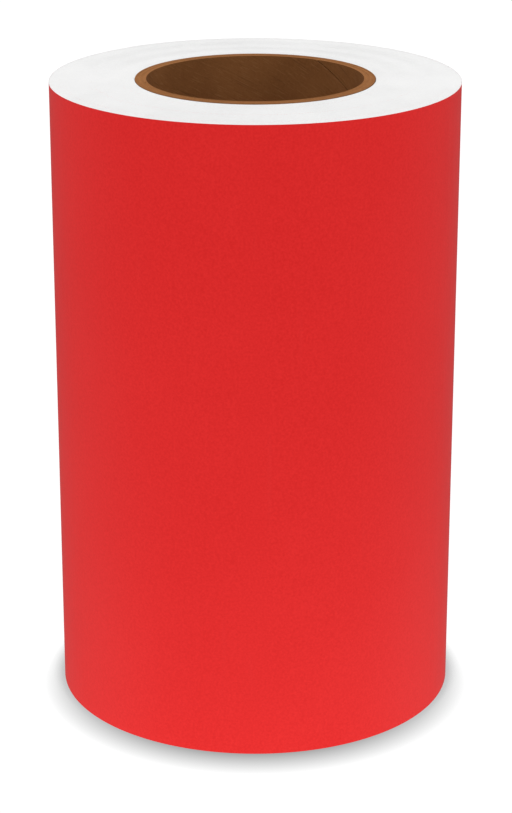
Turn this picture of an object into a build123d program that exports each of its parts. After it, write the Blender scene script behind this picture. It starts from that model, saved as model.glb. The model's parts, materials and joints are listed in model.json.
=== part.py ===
from build123d import *

import math
import os

# Roll of self-adhesive sign vinyl, in millimetres.
# The roll stands on one end of its core. +Z runs up the core's axis, and the origin is on that axis, on the floor.
# The web is a laminate of three layers: face film outwards, adhesive, and release liner inwards.
# It is wound anticlockwise as seen from above, and its loose end, the tail, lies at the back of the roll.

# ---- core: a spiral-wound paperboard tube, plies glued one over the other
core_bore_diameter = 77.0     # a three-inch core, 76.2 nominal, with its working clearance
core_ply_thickness = 0.5
core_ply_count = 8
core_overhang = 0.2           # the core's ends stand this far proud of the web

# ---- web
web_width = 228.6
film_thickness = 0.076
adhesive_thickness = 0.025
liner_thickness = 0.139
turns_under_last = 125       # full turns below the outermost one

# ---- tail: the end of the outermost turn, free to lift off the roll
tail_direction = 130.0       # where the tail's edge lies, in degrees from +X
tail_length = 60.0           # along the surface, from the line where the tail lifts off to its edge
peel_length = 26.0           # the stretch of film at the tail's edge that peels off its liner
tail_gap = 0.08              # air between the slack tail and the turn beneath it

# ---- strips of tape
start_tape_length = 12.0     # along the core's surface
start_tape_thickness = 0.1
end_tape_thickness = 0.05
end_tape_width = 25.0        # up the roll
end_tape_reach = 19.0        # to each side of the tail's edge
end_tape_gap = 0.05          # air under the tape, so that it can be lifted
end_tape_ramp_start = 0.5    # from the tail's edge to where the tape slopes down to the turn beneath
end_tape_ramp_length = 2.0

# The tail's thin layers are drawn as runs of short arcs, none longer than this many degrees
longest_tail_arc = 1.5

# ---- worked out
pitch = film_thickness + adhesive_thickness + liner_thickness
core_bore_radius = core_bore_diameter / 2
core_outer_radius = core_bore_radius + core_ply_thickness * core_ply_count
core_length = web_width + 2 * core_overhang
web_bottom = core_overhang

# Each turn is two half circles about centres half a pitch apart, so that its radius grows by one pitch in a turn.
# Turn angles run from 0 at the tail's direction to 360 at the tail's edge.
tail_line = Vector(math.cos(math.radians(tail_direction)), math.sin(math.radians(tail_direction)))
first_centre = tail_line * (-pitch / 4)
second_centre = tail_line * (pitch / 4)
first_radius = core_outer_radius + turns_under_last * pitch + pitch / 4
second_radius = first_radius + pitch / 2
roll_radius = second_radius + pitch

tail_turn = 360 - math.degrees(tail_length / roll_radius)
peel_turn = 360 - math.degrees(peel_length / roll_radius)
tape_turn = math.degrees(end_tape_reach / roll_radius)

# Layers of the outermost turn: lowest and highest height above the turn beneath
liner_layer = (0.0, liner_thickness)
adhesive_layer = (liner_thickness, liner_thickness + adhesive_thickness)
film_layer = (liner_thickness + adhesive_thickness, pitch)


def point_on(centre, radius, turn):
    """Point at a turn angle on a circle about one of the two centres."""
    angle = math.radians(tail_direction + turn)
    return centre + Vector(math.cos(angle), math.sin(angle)) * radius


def arc_on(centre, radius, start, end):
    """Arc between two turn angles about one of the two centres."""
    return CenterArc(centre, radius, tail_direction + start, end - start)


def upright(edges, bottom, height, merge_arcs=True):
    """Closed outline of edges in the floor plane, raised into a solid. Arcs left unmerged keep a wall face each."""
    face = make_face(edges)
    return extrude(Pos(0, 0, bottom) * face, amount=height, dir=(0, 0, 1), clean=merge_arcs)


def tube(inner_radius, outer_radius, height):
    """Plain tube standing on the floor about the core's axis."""
    ring = Circle(outer_radius) - Circle(inner_radius)
    return extrude(ring, amount=height)


def make_core_ply(number):
    """One ply of the core, counted from the bore outwards."""
    inner_radius = core_bore_radius + number * core_ply_thickness
    return tube(inner_radius, inner_radius + core_ply_thickness, core_length)


def make_start_tape():
    """Double-sided tape on the core, under the web's first few millimetres."""
    inner = core_outer_radius
    outer = core_outer_radius + start_tape_thickness
    sweep = math.degrees(start_tape_length / core_outer_radius)
    axis_point = Vector(0, 0)
    edges = [
        arc_on(axis_point, inner, 0, sweep),
        arc_on(axis_point, outer, 0, sweep),
        Line(point_on(axis_point, inner, 0), point_on(axis_point, outer, 0)),
        Line(point_on(axis_point, inner, sweep), point_on(axis_point, outer, sweep)),
    ]
    return upright(edges, web_bottom, web_width)


def make_wound_web(start_tape):
    """All the turns under the outermost one. The step in its outline is the outermost turn's beginning."""
    edges = [
        arc_on(first_centre, first_radius, 0, 180),
        arc_on(second_centre, second_radius, 180, 360),
        Line(point_on(first_centre, first_radius, 0), point_on(second_centre, second_radius, 360)),
    ]
    body = upright(edges, web_bottom, web_width)
    bore = Pos(0, 0, web_bottom) * extrude(Circle(core_outer_radius), amount=web_width)
    return body - bore - start_tape


def make_fixed_layer(layer):
    """One layer of the outermost turn, from its beginning to the line where the tail lifts off."""
    low, high = layer
    edges = [
        arc_on(first_centre, first_radius + low, 0, 180),
        arc_on(first_centre, first_radius + high, 0, 180),
        arc_on(second_centre, second_radius + low, 180, tail_turn),
        arc_on(second_centre, second_radius + high, 180, tail_turn),
        Line(point_on(first_centre, first_radius + low, 0), point_on(first_centre, first_radius + high, 0)),
        Line(
            point_on(second_centre, second_radius + low, tail_turn),
            point_on(second_centre, second_radius + high, tail_turn),
        ),
    ]
    return upright(edges, web_bottom, web_width)


def make_tail_layer(layer, start, end):
    """One layer of the tail between two turn angles, standing off the turn beneath by the tail's gap."""
    low = second_radius + tail_gap + layer[0]
    high = second_radius + tail_gap + layer[1]
    arc_count = math.ceil((end - start) / longest_tail_arc)
    turns = [start + (end - start) * step / arc_count for step in range(arc_count + 1)]
    edges = [
        Line(point_on(second_centre, low, start), point_on(second_centre, high, start)),
        Line(point_on(second_centre, low, end), point_on(second_centre, high, end)),
    ]
    for arc_start, arc_end in zip(turns, turns[1:]):
        edges.append(arc_on(second_centre, low, arc_start, arc_end))
        edges.append(arc_on(second_centre, high, arc_start, arc_end))
    return upright(edges, web_bottom, web_width, merge_arcs=False)


def end_tape_path(height):
    """Line of the end tape at a height above its underside: over the tail, down the ramp, over the turn beneath."""
    tail_side = second_radius + tail_gap + pitch + end_tape_gap + height
    roll_side = first_radius + pitch + end_tape_gap + height
    ramp_start = math.degrees(end_tape_ramp_start / roll_radius)
    ramp_end = ramp_start + math.degrees(end_tape_ramp_length / roll_radius)
    return [
        arc_on(second_centre, tail_side, -tape_turn, ramp_start),
        Line(point_on(second_centre, tail_side, ramp_start), point_on(first_centre, roll_side, ramp_end)),
        arc_on(first_centre, roll_side, ramp_end, tape_turn),
    ]


def make_end_tape():
    """Clear tape across the tail's edge, at half the roll's height."""
    under = end_tape_path(0)
    over = end_tape_path(end_tape_thickness)
    ends = [
        Line(under[0] @ 0, over[0] @ 0),
        Line(under[2] @ 1, over[2] @ 1),
    ]
    return upright(under + over + ends, (core_length - end_tape_width) / 2, end_tape_width)


def make_parts():
    """Every separate piece of the roll, by name."""
    parts = {"core_inner_ply": make_core_ply(0)}
    for number in range(1, core_ply_count - 1):
        parts[f"core_body_ply_{number}"] = make_core_ply(number)
    parts["core_outer_ply"] = make_core_ply(core_ply_count - 1)

    parts["start_tape"] = make_start_tape()
    parts["wound_web"] = make_wound_web(parts["start_tape"])

    parts["outer_turn_liner"] = make_fixed_layer(liner_layer)
    parts["outer_turn_adhesive"] = make_fixed_layer(adhesive_layer)
    parts["outer_turn_film"] = make_fixed_layer(film_layer)

    parts["tail_liner"] = make_tail_layer(liner_layer, tail_turn, 360)
    parts["tail_adhesive"] = make_tail_layer(adhesive_layer, tail_turn, peel_turn)
    parts["tail_film"] = make_tail_layer(film_layer, tail_turn, peel_turn)

    parts["peel_adhesive"] = make_tail_layer(adhesive_layer, peel_turn, 360)
    parts["peel_film"] = make_tail_layer(film_layer, peel_turn, 360)
    parts["end_tape"] = make_end_tape()
    return parts


def print_joint_lines():
    """Where the three hinge lines stand, on the outer surface of the layer that lifts."""
    lines = {
        "tail_lift": (second_radius + tail_gap + pitch, tail_turn),
        "film_peel": (second_radius + tail_gap + pitch, peel_turn),
        "tape_peel": (second_radius + tail_gap + pitch + end_tape_gap + end_tape_thickness, -tape_turn),
    }
    for name, (radius, turn) in lines.items():
        point = point_on(second_centre, radius, turn)
        print(f"{name}: x {point.X:.4f}, y {point.Y:.4f}")


os.makedirs("parts", exist_ok=True)
for part_name, solid in make_parts().items():
    export_step(solid, f"parts/{part_name}.step")
print_joint_lines()
print(f"core bore radius {core_bore_radius:.3f}, core length {core_length:.3f}, roll radius {roll_radius:.3f}")
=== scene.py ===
import json
import math
import random

import bmesh
import bpy
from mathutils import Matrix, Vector


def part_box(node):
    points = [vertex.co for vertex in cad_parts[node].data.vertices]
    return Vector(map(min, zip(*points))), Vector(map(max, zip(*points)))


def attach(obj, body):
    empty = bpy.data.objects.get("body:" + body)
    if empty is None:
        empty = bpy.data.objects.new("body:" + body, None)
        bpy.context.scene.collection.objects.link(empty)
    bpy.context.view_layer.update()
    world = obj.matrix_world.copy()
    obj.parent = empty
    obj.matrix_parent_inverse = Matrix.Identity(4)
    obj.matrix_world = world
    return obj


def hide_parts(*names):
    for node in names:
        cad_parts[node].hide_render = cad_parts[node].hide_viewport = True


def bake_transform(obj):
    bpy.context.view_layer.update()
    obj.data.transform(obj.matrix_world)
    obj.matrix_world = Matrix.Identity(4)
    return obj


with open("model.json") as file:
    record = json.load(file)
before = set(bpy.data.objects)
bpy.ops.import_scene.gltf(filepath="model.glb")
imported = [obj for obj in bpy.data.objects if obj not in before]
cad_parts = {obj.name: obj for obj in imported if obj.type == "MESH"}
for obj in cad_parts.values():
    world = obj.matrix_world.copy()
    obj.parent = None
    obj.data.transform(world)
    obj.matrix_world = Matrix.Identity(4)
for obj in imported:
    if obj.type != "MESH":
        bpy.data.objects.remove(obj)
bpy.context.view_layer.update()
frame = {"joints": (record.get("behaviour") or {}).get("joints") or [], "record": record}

# Roll of self-adhesive sign vinyl, standing on one end of its core. Metres, +Z up the core's axis.
# The web is face film outwards, adhesive, and release liner inwards, wound anticlockwise as seen from above.

MM = 0.001
axis_point = Vector((0, 0, 0))

# ---- the web's layers, and the board of the core
film_thickness = 0.076 * MM
adhesive_thickness = 0.025 * MM
liner_thickness = 0.139 * MM
film_setback = 0.008 * MM       # the film is slit this much inside the liner's edges
layer_air = 0.002 * MM          # keeps the adhesive's face clear of the film's
tail_slack = 0.08 * MM          # how far the tail's edge stands off the turn beneath
tail_direction = math.radians(130)
wander_height = 0.04 * MM       # how far the turns drift up and down at the end face
wander_turns = 7                # turns in which the drift moves on by one radian
scatter_height = 0.008 * MM     # and how far each turn strays from that drift
scatter_seed = 11

ply_count = 8
ply_lead = 128 * MM             # how far a ply climbs in one turn round the core
ply_seam = 0.35 * MM            # open butt joint between a ply's neighbouring turns
ply_turn_offset = 2.4           # radians from one ply's seam round to the next ply's
ply_shortfall = 0.03 * MM       # the plies inside the wall stop one to four times this far short of its ends

tape_width = 25 * MM
tape_thickness = 0.05 * MM
tape_lift = 0.02 * MM           # air under the clear tape
tape_slope = (0.4 * MM, 2.2 * MM)   # where the tape slopes down past the tail's edge
tape_tooth_pitch = 1.25 * MM
tape_tooth_depth = 0.6 * MM
start_tape_thickness = 0.1 * MM
start_tape_length = 12 * MM

# ---- how finely round things are drawn
wound_half_turn_steps = 64
outer_step = 1.0 * MM
tail_step = 0.5 * MM
ply_steps_per_turn = 160
corner_angle = math.radians(35)     # faces that meet more sharply than this keep a crisp edge
level_face = 0.7                # a face is level where its normal's height is more than this
weld_distance = 0.001 * MM      # points nearer than this to each other become one
cut_distance = 0.0001 * MM      # points nearer than this to a saw cut count as on it

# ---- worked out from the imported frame
bore = next(mount for mount in frame["record"]["mounts"] if mount["name"] == "core_bore")
core_length = bore["dims"]["length_mm"] * MM
bore_radius = bore["dims"]["r_mm"] * MM
core_outer_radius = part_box("core_outer_ply")[1].x
ply_thickness = (core_outer_radius - bore_radius) / ply_count
web_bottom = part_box("wound_web")[0].z
web_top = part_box("wound_web")[1].z
pivot = {joint["name"]: Vector(joint["pos_m"]) for joint in frame["joints"]}

pitch = film_thickness + adhesive_thickness + liner_thickness
adhesive_bottom = liner_thickness
adhesive_top = liner_thickness + adhesive_thickness
liner_layer = (0.0, liner_thickness)
adhesive_layer = (adhesive_bottom, adhesive_top - layer_air)
film_layer = (adhesive_top, pitch)


def outward(turn):
    """Level direction at a turn angle. Turn angles start at the tail's edge and run anticlockwise."""
    return Vector((math.cos(tail_direction + turn), math.sin(tail_direction + turn), 0))


def turn_of(point, centre):
    """Turn angle, from 0 to a full turn, at which a point lies about a centre."""
    arm = point - centre
    return (math.atan2(arm.y, arm.x) - tail_direction) % math.tau


# Each turn is two half circles about centres half a pitch apart, so that it climbs one pitch
first_centre = outward(0) * (-pitch / 4)
second_centre = outward(0) * (pitch / 4)
hinge_arm = pivot["tail_lift"] - second_centre
roll_radius = math.hypot(hinge_arm.x, hinge_arm.y) - tail_slack
second_radius = roll_radius - pitch
first_radius = second_radius - pitch / 2

tail_turn = turn_of(pivot["tail_lift"], second_centre)
peel_turn = turn_of(pivot["film_peel"], second_centre)
tape_turn = turn_of(pivot["tape_peel"], second_centre)
tail_length = (math.tau - tail_turn) * roll_radius
peel_length = (math.tau - peel_turn) * roll_radius
tape_reach = (math.tau - tape_turn) * roll_radius

# The tail leaves the roll on a slightly flatter arc, which lifts its edge by the slack
tail_radius = 1 / (1 / roll_radius - 2 * tail_slack / tail_length ** 2)
tail_centre = second_centre + outward(tail_turn) * (roll_radius - tail_radius)
tail_edge_turn = tail_length / tail_radius + tail_turn


# ======== shader node groups ========

def new_group(name, inputs, output, output_kind):
    """Empty shader node group with its sockets. Returns it with its two end nodes."""
    group = bpy.data.node_groups.new(name, "ShaderNodeTree")
    for label, kind, value in inputs:
        socket = group.interface.new_socket(label, in_out="INPUT", socket_type=kind)
        if value is not None:
            socket.default_value = value
    group.interface.new_socket(output, in_out="OUTPUT", socket_type=output_kind)
    return group, group.nodes.new("NodeGroupInput"), group.nodes.new("NodeGroupOutput")


def noise(tree, vector, scale, detail=3.0, roughness=0.55):
    """Noise texture whose vector and scale are sockets or values."""
    node = tree.nodes.new("ShaderNodeTexNoise")
    node.inputs["Detail"].default_value = detail
    node.inputs["Roughness"].default_value = roughness
    tree.links.new(vector, node.inputs["Vector"])
    if isinstance(scale, (int, float)):
        node.inputs["Scale"].default_value = scale
    else:
        tree.links.new(scale, node.inputs["Scale"])
    return node.outputs["Fac"]


def remap(tree, value, low, high, to_low=0.0, to_high=1.0):
    """Value between two limits spread over another pair, clamped. The pair may be sockets."""
    node = tree.nodes.new("ShaderNodeMapRange")
    tree.links.new(value, node.inputs["Value"])
    limits = {"From Min": low, "From Max": high, "To Min": to_low, "To Max": to_high}
    for label, limit in limits.items():
        if isinstance(limit, (int, float)):
            node.inputs[label].default_value = limit
        else:
            tree.links.new(limit, node.inputs[label])
    return node.outputs["Result"]


def mix_colour(tree, factor, first, second):
    """Colour between two, each a colour or a socket."""
    node = tree.nodes.new("ShaderNodeMix")
    node.data_type = "RGBA"
    tree.links.new(factor, node.inputs[0])
    for socket, colour in ((node.inputs[6], first), (node.inputs[7], second)):
        if isinstance(colour, tuple):
            socket.default_value = colour
        else:
            tree.links.new(colour, socket)
    return node.outputs[2]


def calculate(tree, operation, first, second):
    """Math node on two values, each a number or a socket."""
    node = tree.nodes.new("ShaderNodeMath")
    node.operation = operation
    for socket, value in zip(node.inputs, (first, second)):
        if isinstance(value, (int, float)):
            socket.default_value = value
        else:
            tree.links.new(value, socket)
    return node.outputs[0]


def blend_values(tree, share, first, second):
    """Value between two by a share. Each is a number or a socket."""
    node = tree.nodes.new("ShaderNodeMix")
    for socket, value in zip((node.inputs[0], node.inputs[2], node.inputs[3]), (share, first, second)):
        if isinstance(value, (int, float)):
            socket.default_value = value
        else:
            tree.links.new(value, socket)
    return node.outputs[0]


def stretch(tree, vector, scale):
    """Vector scaled by its own amount along each axis, which stretches a pattern."""
    node = tree.nodes.new("ShaderNodeMapping")
    node.inputs["Scale"].default_value = scale
    tree.links.new(vector, node.inputs["Vector"])
    return node.outputs["Vector"]


def make_uneven_tone():
    """Colour that drifts between two tones over the surface, in broad clouds with finer grain on top."""
    group, ends_in, ends_out = new_group(
        "uneven_tone",
        [
            ("Vector", "NodeSocketVector", None),
            ("Scale", "NodeSocketFloat", 20.0),
            ("Grain Scale", "NodeSocketFloat", 600.0),
            ("Grain Share", "NodeSocketFloat", 0.4),
            ("Dark Tone", "NodeSocketColor", (0.5, 0.5, 0.5, 1)),
            ("Light Tone", "NodeSocketColor", (0.6, 0.6, 0.6, 1)),
        ],
        "Color",
        "NodeSocketColor",
    )
    clouds = noise(group, ends_in.outputs["Vector"], ends_in.outputs["Scale"], detail=4.0)
    grain = noise(group, ends_in.outputs["Vector"], ends_in.outputs["Grain Scale"], detail=2.0)
    blended = blend_values(group, ends_in.outputs["Grain Share"], clouds, grain)
    spread = remap(group, blended, 0.34, 0.66)
    tone = mix_colour(group, spread, ends_in.outputs["Dark Tone"], ends_in.outputs["Light Tone"])
    group.links.new(tone, ends_out.inputs["Color"])
    return group


def make_uneven_gloss():
    """Roughness that wanders between two values, in patches with fine rubbed streaks."""
    group, ends_in, ends_out = new_group(
        "uneven_gloss",
        [
            ("Vector", "NodeSocketVector", None),
            ("Scale", "NodeSocketFloat", 30.0),
            ("Smoothest", "NodeSocketFloat", 0.3),
            ("Roughest", "NodeSocketFloat", 0.5),
        ],
        "Roughness",
        "NodeSocketFloat",
    )
    patches = noise(group, ends_in.outputs["Vector"], ends_in.outputs["Scale"], detail=5.0, roughness=0.6)
    streaks = noise(group, stretch(group, ends_in.outputs["Vector"], (900, 900, 22)), 1.0, detail=2.0)
    blended = blend_values(group, 0.3, patches, streaks)
    value = remap(group, blended, 0.34, 0.66, ends_in.outputs["Smoothest"], ends_in.outputs["Roughest"])
    group.links.new(value, ends_out.inputs["Roughness"])
    return group


def make_fine_relief():
    """Height of a fine surface texture: a soft dimple with a sharper grain over it."""
    group, ends_in, ends_out = new_group(
        "fine_relief",
        [
            ("Vector", "NodeSocketVector", None),
            ("Dimple Scale", "NodeSocketFloat", 300.0),
            ("Grain Scale", "NodeSocketFloat", 1500.0),
            ("Grain Share", "NodeSocketFloat", 0.3),
        ],
        "Height",
        "NodeSocketFloat",
    )
    dimples = noise(group, ends_in.outputs["Vector"], ends_in.outputs["Dimple Scale"], detail=1.0)
    grain = noise(group, ends_in.outputs["Vector"], ends_in.outputs["Grain Scale"], detail=3.0)
    raised = calculate(group, "MULTIPLY", grain, ends_in.outputs["Grain Share"])
    group.links.new(calculate(group, "ADD", dimples, raised), ends_out.inputs["Height"])
    return group


def make_sparse_marks():
    """Mask of a few short marks along one direction: fibres in board, faint rubs on film."""
    group, ends_in, ends_out = new_group(
        "sparse_marks",
        [
            ("Vector", "NodeSocketVector", None),
            ("Scale", "NodeSocketFloat", 1.0),
            ("Threshold", "NodeSocketFloat", 0.62),
            ("Amount", "NodeSocketFloat", 0.3),
        ],
        "Mask",
        "NodeSocketFloat",
    )
    lines = noise(group, ends_in.outputs["Vector"], ends_in.outputs["Scale"], detail=2.0, roughness=0.4)
    past = calculate(group, "ADD", ends_in.outputs["Threshold"], 0.08)
    mask = remap(group, lines, ends_in.outputs["Threshold"], past)
    group.links.new(calculate(group, "MULTIPLY", mask, ends_in.outputs["Amount"]), ends_out.inputs["Mask"])
    return group


uneven_tone = make_uneven_tone()
uneven_gloss = make_uneven_gloss()
fine_relief = make_fine_relief()
sparse_marks = make_sparse_marks()


# ======== materials ========

def place(tree, group, vector, **values):
    """Puts a group in a material with its own values, and returns its only output."""
    node = tree.nodes.new("ShaderNodeGroup")
    node.node_tree = group
    tree.links.new(vector, node.inputs["Vector"])
    for label, value in values.items():
        node.inputs[label.replace("_", " ")].default_value = value
    return node.outputs[0]


def new_material(name, specular):
    """Material with a Principled shader. Returns it with its tree, shader and object coordinates."""
    material = bpy.data.materials.new(name)
    material.use_nodes = True
    tree = material.node_tree
    shader = tree.nodes["Principled BSDF"]
    shader.inputs["Specular IOR Level"].default_value = specular
    where = tree.nodes.new("ShaderNodeTexCoord").outputs["Object"]
    return material, tree, shader, where


def add_relief(tree, shader, height, depth, strength):
    """Height into the shader's normal. Depth is in metres."""
    bump = tree.nodes.new("ShaderNodeBump")
    bump.inputs["Strength"].default_value = strength
    bump.inputs["Distance"].default_value = depth
    tree.links.new(height, bump.inputs["Height"])
    tree.links.new(bump.outputs["Normal"], shader.inputs["Normal"])


def make_red_film():
    """Satin red face film: even colour, faint rubs, and the soft dimple of calendered vinyl."""
    material, tree, shader, where = new_material("red_film", specular=0.12)
    tone = place(
        tree, uneven_tone, where, Scale=14.0, Grain_Scale=1250.0, Grain_Share=0.75,
        Dark_Tone=(0.720, 0.0125, 0.0120, 1), Light_Tone=(0.790, 0.0205, 0.0195, 1),
    )
    rubs = place(tree, sparse_marks, stretch(tree, where, (300, 300, 24)), Threshold=0.68, Amount=0.06)
    tree.links.new(mix_colour(tree, rubs, tone, (0.76, 0.045, 0.045, 1)), shader.inputs["Base Color"])
    gloss = place(tree, uneven_gloss, where, Scale=26.0, Smoothest=0.36, Roughest=0.46)
    tree.links.new(gloss, shader.inputs["Roughness"])
    relief = place(tree, fine_relief, where, Dimple_Scale=420.0, Grain_Scale=2400.0, Grain_Share=0.25)
    add_relief(tree, shader, relief, depth=0.05 * MM, strength=0.5)
    return material


def make_slit_edge():
    """Where the knife went through the film: pale, a little rougher than its face."""
    material, tree, shader, where = new_material("film_slit_edge", specular=0.2)
    tone = place(
        tree, uneven_tone, where, Scale=40.0, Grain_Scale=1800.0,
        Dark_Tone=(0.725, 0.722, 0.719, 1), Light_Tone=(0.815, 0.812, 0.809, 1),
    )
    tree.links.new(tone, shader.inputs["Base Color"])
    gloss = place(tree, uneven_gloss, where, Scale=120.0, Smoothest=0.55, Roughest=0.75)
    tree.links.new(gloss, shader.inputs["Roughness"])
    relief = place(tree, fine_relief, where, Dimple_Scale=900.0, Grain_Scale=3500.0, Grain_Share=0.6)
    add_relief(tree, shader, relief, depth=0.02 * MM, strength=0.6)
    return material


def make_white_liner():
    """Coated white release paper, with its fibres showing faintly."""
    material, tree, shader, where = new_material("white_liner", specular=0.25)
    tone = place(
        tree, uneven_tone, where, Scale=22.0, Grain_Scale=1300.0, Grain_Share=0.7,
        Dark_Tone=(0.800, 0.800, 0.797, 1), Light_Tone=(0.865, 0.865, 0.863, 1),
    )
    fibres = place(tree, sparse_marks, stretch(tree, where, (500, 500, 120)), Threshold=0.60, Amount=0.10)
    tree.links.new(mix_colour(tree, fibres, tone, (0.72, 0.72, 0.71, 1)), shader.inputs["Base Color"])
    gloss = place(tree, uneven_gloss, where, Scale=60.0, Smoothest=0.42, Roughest=0.62)
    tree.links.new(gloss, shader.inputs["Roughness"])
    relief = place(tree, fine_relief, where, Dimple_Scale=700.0, Grain_Scale=2600.0, Grain_Share=0.7)
    add_relief(tree, shader, relief, depth=0.03 * MM, strength=0.5)
    return material


def make_core_board():
    """Brown kraft board. Its fibres run along each ply, so they follow the ply's own map."""
    material, tree, shader, where = new_material("core_board", specular=0.12)
    along_ply = tree.nodes.new("ShaderNodeUVMap")
    along_ply.uv_map = "along_ply"
    along = along_ply.outputs["UV"]
    tone = place(
        tree, uneven_tone, where, Scale=55.0, Grain_Scale=1500.0,
        Dark_Tone=(0.250, 0.100, 0.031, 1), Light_Tone=(0.335, 0.140, 0.046, 1),
    )
    pale = place(tree, sparse_marks, stretch(tree, along, (220, 2600, 1)), Threshold=0.58, Amount=0.45)
    dark = place(tree, sparse_marks, stretch(tree, along, (90, 1500, 1)), Threshold=0.63, Amount=0.5)
    lighter = mix_colour(tree, pale, tone, (0.43, 0.205, 0.080, 1))
    tree.links.new(mix_colour(tree, dark, lighter, (0.150, 0.060, 0.020, 1)), shader.inputs["Base Color"])
    gloss = place(tree, uneven_gloss, where, Scale=80.0, Smoothest=0.78, Roughest=0.95)
    tree.links.new(gloss, shader.inputs["Roughness"])
    relief = place(
        tree, fine_relief, stretch(tree, along, (0.3, 1, 1)),
        Dimple_Scale=900.0, Grain_Scale=3000.0, Grain_Share=0.8,
    )
    add_relief(tree, shader, relief, depth=0.06 * MM, strength=0.7)
    return material


def make_core_cut_end():
    """Sawn end of the core: each ply its own brown, with a dark line of glue between neighbours."""
    material, tree, shader, where = new_material("core_cut_end", specular=0.1)
    flat = stretch(tree, where, (1, 1, 0))
    arm = tree.nodes.new("ShaderNodeVectorMath")
    arm.operation = "LENGTH"
    tree.links.new(flat, arm.inputs[0])
    into_wall = calculate(tree, "SUBTRACT", arm.outputs["Value"], bore_radius)
    plies_in = calculate(tree, "DIVIDE", into_wall, ply_thickness)
    shade = tree.nodes.new("ShaderNodeTexWhiteNoise")
    shade.noise_dimensions = "1D"
    tree.links.new(calculate(tree, "FLOOR", plies_in, 0.0), shade.inputs["W"])
    tone = place(
        tree, uneven_tone, where, Scale=160.0, Grain_Scale=2600.0, Grain_Share=0.6,
        Dark_Tone=(0.265, 0.104, 0.032, 1), Light_Tone=(0.365, 0.152, 0.050, 1),
    )
    own_shade = calculate(tree, "MULTIPLY", shade.outputs["Value"], 0.35)
    by_ply = mix_colour(tree, own_shade, tone, (0.20, 0.080, 0.026, 1))
    fibres = place(tree, sparse_marks, stretch(tree, where, (1500, 1500, 1500)), Threshold=0.60, Amount=0.4)
    with_fibres = mix_colour(tree, fibres, by_ply, (0.45, 0.215, 0.085, 1))
    from_glue = calculate(tree, "PINGPONG", plies_in, 0.5)
    glue = calculate(tree, "MULTIPLY", remap(tree, from_glue, 0.02, 0.12, 1.0, 0.0), 0.65)
    with_glue = mix_colour(tree, glue, with_fibres, (0.110, 0.042, 0.014, 1))
    tree.links.new(with_glue, shader.inputs["Base Color"])
    gloss = place(tree, uneven_gloss, where, Scale=200.0, Smoothest=0.82, Roughest=0.98)
    tree.links.new(gloss, shader.inputs["Roughness"])
    relief = place(tree, fine_relief, where, Dimple_Scale=1800.0, Grain_Scale=5000.0, Grain_Share=0.8)
    add_relief(tree, shader, relief, depth=0.08 * MM, strength=0.8)
    return material


def make_tacky_adhesive():
    """Clear pressure-sensitive adhesive: a thin milky skin with a slightly ribbed face."""
    material, tree, shader, where = new_material("tacky_adhesive", specular=0.4)
    shader.inputs["Alpha"].default_value = 0.13
    tone = place(
        tree, uneven_tone, where, Scale=30.0, Grain_Scale=800.0,
        Dark_Tone=(0.64, 0.62, 0.60, 1), Light_Tone=(0.76, 0.74, 0.72, 1),
    )
    tree.links.new(tone, shader.inputs["Base Color"])
    gloss = place(tree, uneven_gloss, where, Scale=70.0, Smoothest=0.3, Roughest=0.55)
    tree.links.new(gloss, shader.inputs["Roughness"])
    relief = place(tree, fine_relief, where, Dimple_Scale=520.0, Grain_Scale=1800.0, Grain_Share=0.4)
    add_relief(tree, shader, relief, depth=0.04 * MM, strength=0.5)
    return material


def make_clear_tape():
    """Clear packing tape, glossy, with faint stretch lines, and paler in patches that haven't wetted down."""
    material, tree, shader, where = new_material("clear_tape", specular=0.5)
    tone = place(
        tree, uneven_tone, where, Scale=60.0, Grain_Scale=900.0,
        Dark_Tone=(0.52, 0.38, 0.29, 1), Light_Tone=(0.66, 0.52, 0.42, 1),
    )
    tree.links.new(tone, shader.inputs["Base Color"])
    patches = noise(tree, stretch(tree, where, (240, 240, 110)), 1.0, detail=0.6)
    tree.links.new(remap(tree, patches, 0.40, 0.68, 0.04, 0.08), shader.inputs["Alpha"])
    gloss = place(tree, uneven_gloss, where, Scale=90.0, Smoothest=0.08, Roughest=0.20)
    tree.links.new(gloss, shader.inputs["Roughness"])
    relief = place(
        tree, fine_relief, stretch(tree, where, (0.35, 0.35, 2.2)),
        Dimple_Scale=120.0, Grain_Scale=420.0, Grain_Share=0.15,
    )
    add_relief(tree, shader, relief, depth=0.04 * MM, strength=0.2)
    return material


def make_tissue_tape():
    """Double-sided tissue tape, cream and fibrous."""
    material, tree, shader, where = new_material("tissue_tape", specular=0.3)
    tone = place(
        tree, uneven_tone, where, Scale=90.0, Grain_Scale=1600.0,
        Dark_Tone=(0.72, 0.69, 0.60, 1), Light_Tone=(0.84, 0.81, 0.73, 1),
    )
    fibres = place(tree, sparse_marks, stretch(tree, where, (700, 700, 300)), Threshold=0.57, Amount=0.3)
    tree.links.new(mix_colour(tree, fibres, tone, (0.60, 0.57, 0.49, 1)), shader.inputs["Base Color"])
    gloss = place(tree, uneven_gloss, where, Scale=100.0, Smoothest=0.5, Roughest=0.8)
    tree.links.new(gloss, shader.inputs["Roughness"])
    relief = place(tree, fine_relief, where, Dimple_Scale=1100.0, Grain_Scale=3200.0, Grain_Share=0.9)
    add_relief(tree, shader, relief, depth=0.03 * MM, strength=0.6)
    return material


red_film = make_red_film()
film_slit_edge = make_slit_edge()
white_liner = make_white_liner()
core_board = make_core_board()
core_cut_end = make_core_cut_end()
tacky_adhesive = make_tacky_adhesive()
clear_tape = make_clear_tape()
tissue_tape = make_tissue_tape()


# ======== mesh building ========

def upright_rim(bm, centre, turn, low, high, bottom, top):
    """Rectangle of edges standing on a radius of a centre, at a turn angle, from one radius to another."""
    corners = [(low, bottom), (high, bottom), (high, top), (low, top)]
    verts = [bm.verts.new(centre + outward(turn) * radius + Vector((0, 0, z))) for radius, z in corners]
    edges = [bm.edges.new((verts[i], verts[(i + 1) % 4])) for i in range(4)]
    return verts + edges


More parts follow.
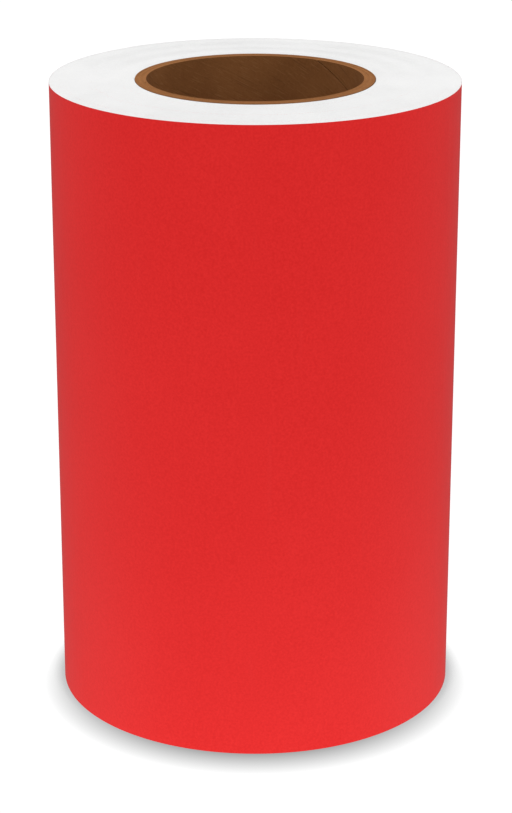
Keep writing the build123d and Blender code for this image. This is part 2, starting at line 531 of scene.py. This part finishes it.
def carry_round(bm, rim, centre, angle, steps, climb=0.0):
    """Spins a rim of edges about an upright axis, leaving walls behind, and returns the rim it ends on."""
    spun = bmesh.ops.spin(
        bm, geom=rim, cent=centre, axis=(0, 0, 1), dvec=(0, 0, climb / steps),
        angle=angle, steps=steps, use_merge=False, use_duplicate=False,
    )
    return spun["geom_last"]


def close_ends(bm):
    """Fills every open loop, and points all faces outwards."""
    open_edges = [edge for edge in bm.edges if edge.is_boundary]
    bmesh.ops.holes_fill(bm, edges=open_edges, sides=0)
    bmesh.ops.recalc_face_normals(bm, faces=bm.faces[:])


def finish_piece(bm, name, wall, edge=None):
    """Mesh object from a bmesh, smooth but for its corners. Level faces take the edge material."""
    mesh = bpy.data.meshes.new(name)
    mesh.materials.append(wall)
    if edge:
        mesh.materials.append(edge)
        for face in bm.faces:
            if abs(face.normal.z) > level_face:
                face.material_index = 1
    bm.to_mesh(mesh)
    bm.free()
    mesh.shade_smooth()
    mesh.set_sharp_from_angle(angle=corner_angle)
    piece = bpy.data.objects.new(name, mesh)
    bpy.context.scene.collection.objects.link(piece)
    return piece


def make_wound_layer(name, layer, setback, wall, edge=None):
    """One layer of all the turns under the outermost one: a single ribbon from the core to the last turn.
    Neighbouring turns sit a few hundredths of a millimetre up or down, as they do on a wound roll."""
    start_radius = core_outer_radius + start_tape_thickness
    turns = round((first_radius - pitch / 4 - core_outer_radius) / pitch)
    wound_pitch = (first_radius - pitch / 4 - start_radius) / turns
    half_step = outward(0) * (wound_pitch / 4)
    scatter = random.Random(scatter_seed)
    shifts = [
        wander_height * math.sin(number / wander_turns) + scatter.uniform(-scatter_height, scatter_height)
        for number in range(turns)
    ] + [0.0]
    whole = bmesh.new()
    for number in range(turns):
        one = bmesh.new()
        radius = start_radius + number * wound_pitch + wound_pitch / 4
        rim = upright_rim(
            one, -half_step, 0, radius + layer[0], radius + layer[1],
            web_bottom + setback + shifts[number], web_top - setback + shifts[number],
        )
        climb = (shifts[number + 1] - shifts[number]) / 2
        for centre in (-half_step, half_step):
            rim = carry_round(one, rim, centre, math.pi, wound_half_turn_steps, climb)
        turn_mesh = bpy.data.meshes.new("one_turn")
        one.to_mesh(turn_mesh)
        one.free()
        whole.from_mesh(turn_mesh)
        bpy.data.meshes.remove(turn_mesh)
    bmesh.ops.remove_doubles(whole, verts=whole.verts[:], dist=weld_distance)
    close_ends(whole)
    return finish_piece(whole, name, wall, edge)


def make_fixed_layer(name, layer, setback, wall, edge=None):
    """One layer of the outermost turn, from its beginning to the line where the tail lifts off."""
    bm = bmesh.new()
    rim = upright_rim(
        bm, first_centre, 0, first_radius + layer[0], first_radius + layer[1],
        web_bottom + setback, web_top - setback,
    )
    half = math.pi * first_radius
    rim = carry_round(bm, rim, first_centre, math.pi, round(half / outer_step))
    rest = tail_turn - math.pi
    carry_round(bm, rim, second_centre, rest, round(rest * second_radius / outer_step))
    close_ends(bm)
    return finish_piece(bm, name, wall, edge)


def make_tail_layer(name, layer, start, end, setback, wall, edge=None):
    """One layer of the tail, between two distances from the line where the tail lifts off."""
    bm = bmesh.new()
    underside = tail_radius - pitch
    rim = upright_rim(
        bm, tail_centre, tail_turn + start / tail_radius, underside + layer[0], underside + layer[1],
        web_bottom + setback, web_top - setback,
    )
    carry_round(bm, rim, tail_centre, (end - start) / tail_radius, round((end - start) / tail_step))
    close_ends(bm)
    return finish_piece(bm, name, wall, edge)


def tape_underside(distance):
    """Point under the clear tape, at a distance past the tail's edge: on the tail, the slope or the roll."""
    turn = distance / roll_radius
    on_tail = tail_centre + outward(turn + tail_edge_turn) * (tail_radius + tape_lift)
    on_roll = first_centre + outward(turn) * (first_radius + pitch + tape_lift)
    share = (distance - tape_slope[0]) / (tape_slope[1] - tape_slope[0])
    share = min(max(share, 0.0), 1.0)
    return on_tail.lerp(on_roll, share * share * (3 - 2 * share))


def make_end_tape(name):
    """Strip of clear tape across the tail's edge, torn off on a toothed blade at both ends."""
    bm = bmesh.new()
    bottom = (core_length - tape_width) / 2
    tooth_count = round(tape_width / tape_tooth_pitch)
    step_count = round(2 * tape_reach / tail_step)
    marks = [-tape_reach + 2 * tape_reach * number / step_count for number in range(step_count + 1)]
    start = tape_underside(marks[0])
    verts = [
        bm.verts.new(start + Vector((0, 0, bottom + tape_width * number / (2 * tooth_count))))
        for number in range(2 * tooth_count + 1)
    ]
    row = [bm.edges.new(pair) for pair in zip(verts, verts[1:])]
    first_row, here = verts, start
    for mark in marks[1:]:
        grown = bmesh.ops.extrude_edge_only(bm, edges=row)["geom"]
        moving = [item for item in grown if isinstance(item, bmesh.types.BMVert)]
        row = [item for item in grown if isinstance(item, bmesh.types.BMEdge)]
        bmesh.ops.translate(bm, verts=moving, vec=tape_underside(mark) - here)
        here = tape_underside(mark)
    for end_row, mark, inwards in (
        (first_row, marks[0], tape_tooth_depth),
        (moving, marks[-1], -tape_tooth_depth),
    ):
        by_height = sorted(end_row, key=lambda vert: vert.co.z)
        notch = tape_underside(mark + inwards) - tape_underside(mark)
        bmesh.ops.translate(bm, verts=by_height[1::2], vec=notch)
    bmesh.ops.recalc_face_normals(bm, faces=bm.faces[:])
    middle = bm.faces[:][len(bm.faces) // 2]
    if middle.normal.dot(middle.calc_center_median()) < 0:
        bmesh.ops.reverse_faces(bm, faces=bm.faces[:])
    bmesh.ops.solidify(bm, geom=bm.faces[:], thickness=-tape_thickness)
    bmesh.ops.recalc_face_normals(bm, faces=bm.faces[:])
    return finish_piece(bm, name, clear_tape)


def make_start_tape(name):
    """Double-sided tape on the core, under the web's first few millimetres."""
    bm = bmesh.new()
    rim = upright_rim(
        bm, axis_point, 0, core_outer_radius, core_outer_radius + start_tape_thickness - layer_air,
        web_bottom, web_top,
    )
    sweep = start_tape_length / core_outer_radius
    carry_round(bm, rim, axis_point, sweep, round(start_tape_length / tail_step))
    close_ends(bm)
    return finish_piece(bm, name, tissue_tape)


def map_along_ply(bm, start_turn, radius):
    """Map whose first coordinate runs along the ply's helix and whose second runs across it, in metres.
    The distance from the axis is added to the second, so that the ply's edges take a grain too."""
    layer = bm.loops.layers.uv.new("along_ply")
    rounding = 1e-4             # keeps a point on the strip's lower edge in its own turn
    for face in bm.faces:
        for loop in face.loops:
            spot = loop.vert.co
            share = ((math.atan2(spot.y, spot.x) - tail_direction - start_turn) / math.tau) % 1
            climbed = spot.z / ply_lead + 1
            turns = share + math.floor(climbed - share + rounding)
            across = spot.z - turns * ply_lead
            loop[layer].uv = (turns * math.tau * radius, across + spot.xy.length)


def make_core_ply(number):
    """One ply of the core, counted from the bore outwards: a strip of board wound in a helix with its edges
    butted, then cut off square. The plies between bore and outside end a hair short of the others."""
    inner = bore_radius + number * ply_thickness
    outer = inner + ply_thickness
    start_turn = number * ply_turn_offset
    turn_count = math.ceil(core_length / ply_lead) + 1
    shortfall = 0.0 if number in (0, ply_count - 1) else ply_shortfall * (1 + number * 5 % 4)
    bm = bmesh.new()
    rim = upright_rim(bm, axis_point, start_turn, inner, outer, -ply_lead, -ply_seam)
    carry_round(
        bm, rim, axis_point, angle=math.tau * turn_count,
        steps=ply_steps_per_turn * turn_count, climb=ply_lead * turn_count,
    )
    map_along_ply(bm, start_turn, inner)
    for height, side in ((shortfall, -1), (core_length - shortfall, 1)):
        bmesh.ops.bisect_plane(
            bm, geom=bm.verts[:] + bm.edges[:] + bm.faces[:], dist=cut_distance,
            plane_co=(0, 0, height), plane_no=(0, 0, side), clear_outer=True, clear_inner=False,
        )
    close_ends(bm)
    bmesh.ops.triangulate(bm, faces=[face for face in bm.faces if len(face.verts) > 4])
    return finish_piece(bm, f"core_ply_{number + 1}", core_board, core_cut_end)


# ======== the core and the start of the web ========

body_nodes = [f"core_body_ply_{number}" for number in range(1, ply_count - 1)]
ply_nodes = ["core_inner_ply", *body_nodes, "core_outer_ply"]
for number, node in enumerate(ply_nodes):
    ply = make_core_ply(number)
    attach(ply, "roll")
    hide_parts(node)

core_tape = make_start_tape("core_tape")
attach(core_tape, "roll")
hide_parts("start_tape")

# ======== the wound web ========

wound_liner = make_wound_layer("wound_liner", liner_layer, 0.0, white_liner)
film_and_adhesive = (adhesive_bottom, pitch)
wound_film = make_wound_layer("wound_film", film_and_adhesive, film_setback, red_film, film_slit_edge)
for layer, slot_name in ((wound_liner, "web_edge"), (wound_film, "vinyl_film")):
    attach(layer, "roll")
    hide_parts("wound_web")

# ======== the outermost turn ========

outer_liner = make_fixed_layer("outer_liner", liner_layer, 0.0, white_liner)
outer_adhesive = make_fixed_layer("outer_adhesive", adhesive_layer, film_setback, tacky_adhesive)
outer_film = make_fixed_layer("outer_film", film_layer, film_setback, red_film, film_slit_edge)
for layer, node, slot_name in (
    (outer_liner, "outer_turn_liner", "release_liner"),
    (outer_adhesive, "outer_turn_adhesive", "adhesive"),
    (outer_film, "outer_turn_film", "vinyl_film"),
):
    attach(layer, "roll")
    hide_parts(node)

# ======== the tail ========

peel_start = tail_length - peel_length
loose_liner = make_tail_layer("loose_liner", liner_layer, 0.0, tail_length, 0.0, white_liner)
loose_adhesive = make_tail_layer(
    "loose_adhesive", adhesive_layer, 0.0, peel_start, film_setback, tacky_adhesive,
)
loose_film = make_tail_layer(
    "loose_film", film_layer, 0.0, peel_start, film_setback, red_film, film_slit_edge,
)
edge_adhesive = make_tail_layer(
    "edge_adhesive", adhesive_layer, peel_start, tail_length, film_setback, tacky_adhesive,
)
edge_film = make_tail_layer(
    "edge_film", film_layer, peel_start, tail_length, film_setback, red_film, film_slit_edge,
)
end_tape = make_end_tape("clear_end_tape")


def bend_from(piece):
    """Bakes the piece's placement into its mesh."""
    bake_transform(piece)


for piece, node, slot_name in (
    (loose_liner, "tail_liner", "release_liner"),
    (loose_adhesive, "tail_adhesive", "adhesive"),
    (loose_film, "tail_film", "vinyl_film"),
):
    bend_from(piece)
    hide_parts(node)
for piece, node, slot_name in (
    (edge_adhesive, "peel_adhesive", "adhesive"),
    (edge_film, "peel_film", "vinyl_film"),
):
    bend_from(piece)
    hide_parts(node)
bend_from(end_tape)
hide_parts("end_tape")


# ======== floor, light and camera ========

# ---- the floor glows: one strength to light the roll, one in reflections, one to the eye
floor_radius = 5.0
floor_sides = 96
pool_start = 0.10               # metres from the axis, where the brighter pool round the roll begins to fade
pool_end = 0.50
pool_glow = 1.68
floor_glow = 1.05
floor_in_reflections = 0.22
floor_to_eye = 1.06

# ---- shadows on the floor, painted on what the eye sees of it
shadow_shift = 0.008            # the soft shadow is a disc whose middle is this far forwards of the axis
shadow_start = 0.001            # it begins to fade this far inside the roll's front
shadow_reach = 0.008            # and is gone at this much more than the roll's radius from its own middle
shadow_darkest = 0.36
contact_reach = 0.009           # how near a surface has to be to darken the floor
contact_samples = 16
contact_full = 0.55             # share of open space at which the contact shadow is at its darkest
contact_gone = 0.90             # and the share at which there is none
contact_darkest = 0.55

# ---- the white all round
surround_light = 0.5
surround_in_reflections = 0.15
surround_to_eye = 1.05

# ---- the softbox and the camera, in metres, watts and degrees
softbox_side = 2.0
softbox_height = 2.0
softbox_power = 30.5
camera_place = (0, -0.8659, 0.41236)
camera_tilt = 19.5              # how far the camera looks down
camera_lens = 109.97            # millimetres
camera_sensor = 36.0            # millimetres
camera_shift = 0.00105
camera_nearest = 0.01
camera_farthest = 50.0


def distance_from(tree, where, shift):
    """Distance of a floor point from the roll's axis, or from a point shifted forwards of it."""
    away = tree.nodes.new("ShaderNodeVectorMath")
    away.operation = "DISTANCE"
    away.inputs[1].default_value = (0, -shift, 0)
    tree.links.new(where, away.inputs[0])
    return away.outputs["Value"]


def make_floor():
    """Wide pale floor. It throws soft light up at the roll, most from a pool round it. To the eye it is
    plain white but for a shadow that falls slightly forwards and a contact shadow all round."""
    bm = bmesh.new()
    bmesh.ops.create_circle(bm, cap_ends=True, segments=floor_sides, radius=floor_radius)
    mesh = bpy.data.meshes.new("floor")
    bm.to_mesh(mesh)
    bm.free()
    material = bpy.data.materials.new("pale_floor")
    material.use_nodes = True
    tree = material.node_tree
    tree.nodes.remove(tree.nodes["Principled BSDF"])
    where = tree.nodes.new("ShaderNodeTexCoord").outputs["Object"]
    pool = remap(tree, distance_from(tree, where, 0.0), pool_start, pool_end, pool_glow, floor_glow)
    cast = distance_from(tree, where, shadow_shift)
    soft_shadow = remap(
        tree, cast, roll_radius - shadow_shift - shadow_start, roll_radius + shadow_reach,
        shadow_darkest, floor_to_eye,
    )
    near = tree.nodes.new("ShaderNodeAmbientOcclusion")
    near.inputs["Distance"].default_value = contact_reach
    near.samples = contact_samples
    contact_shadow = remap(
        tree, near.outputs["AO"], contact_full, contact_gone, contact_darkest, floor_to_eye,
    )
    seen = calculate(tree, "MINIMUM", soft_shadow, contact_shadow)
    path = tree.nodes.new("ShaderNodeLightPath")
    dimmed = blend_values(tree, path.outputs["Is Glossy Ray"], pool, floor_in_reflections)
    strength = blend_values(tree, path.outputs["Is Camera Ray"], dimmed, seen)
    glow = tree.nodes.new("ShaderNodeEmission")
    tree.links.new(strength, glow.inputs["Strength"])
    tree.links.new(glow.outputs["Emission"], tree.nodes["Material Output"].inputs["Surface"])
    mesh.materials.append(material)
    floor = bpy.data.objects.new("floor", mesh)
    bpy.context.scene.collection.objects.link(floor)


def make_surroundings():
    """White all round: full white to the eye, about half that for lighting, and dimmed in reflections."""
    world = bpy.data.worlds.new("white_studio")
    world.use_nodes = True
    bpy.context.scene.world = world
    tree = world.node_tree
    lighting = tree.nodes["Background"]
    lighting.inputs["Color"].default_value = (1, 1, 1, 1)
    seen = tree.nodes.new("ShaderNodeBackground")
    seen.inputs["Color"].default_value = (1, 1, 1, 1)
    seen.inputs["Strength"].default_value = surround_to_eye
    choice = tree.nodes.new("ShaderNodeMixShader")
    path = tree.nodes.new("ShaderNodeLightPath")
    strength = blend_values(tree, path.outputs["Is Glossy Ray"], surround_light, surround_in_reflections)
    tree.links.new(strength, lighting.inputs["Strength"])
    tree.links.new(path.outputs["Is Camera Ray"], choice.inputs[0])
    tree.links.new(lighting.outputs["Background"], choice.inputs[1])
    tree.links.new(seen.outputs["Background"], choice.inputs[2])
    tree.links.new(choice.outputs["Shader"], tree.nodes["World Output"].inputs["Surface"])


def make_overhead_light():
    """Large soft box above the roll."""
    light = bpy.data.lights.new("overhead_softbox", "AREA")
    light.shape = "SQUARE"
    light.size = softbox_side
    light.energy = softbox_power
    softbox = bpy.data.objects.new("overhead_softbox", light)
    softbox.location = (0, 0, softbox_height)
    softbox.visible_camera = False
    bpy.context.scene.collection.objects.link(softbox)


def make_camera():
    """Long lens, looking down on the roll from the front."""
    data = bpy.data.cameras.new("camera")
    data.sensor_width = camera_sensor
    data.lens = camera_lens
    data.shift_x = camera_shift
    data.clip_start = camera_nearest
    data.clip_end = camera_farthest
    camera = bpy.data.objects.new("camera", data)
    camera.location = camera_place
    camera.rotation_euler = (math.radians(90 - camera_tilt), 0, 0)
    bpy.context.scene.collection.objects.link(camera)
    bpy.context.scene.camera = camera


make_floor()
make_surroundings()
make_overhead_light()
make_camera()
bpy.context.scene.view_settings.view_transform = "Standard"
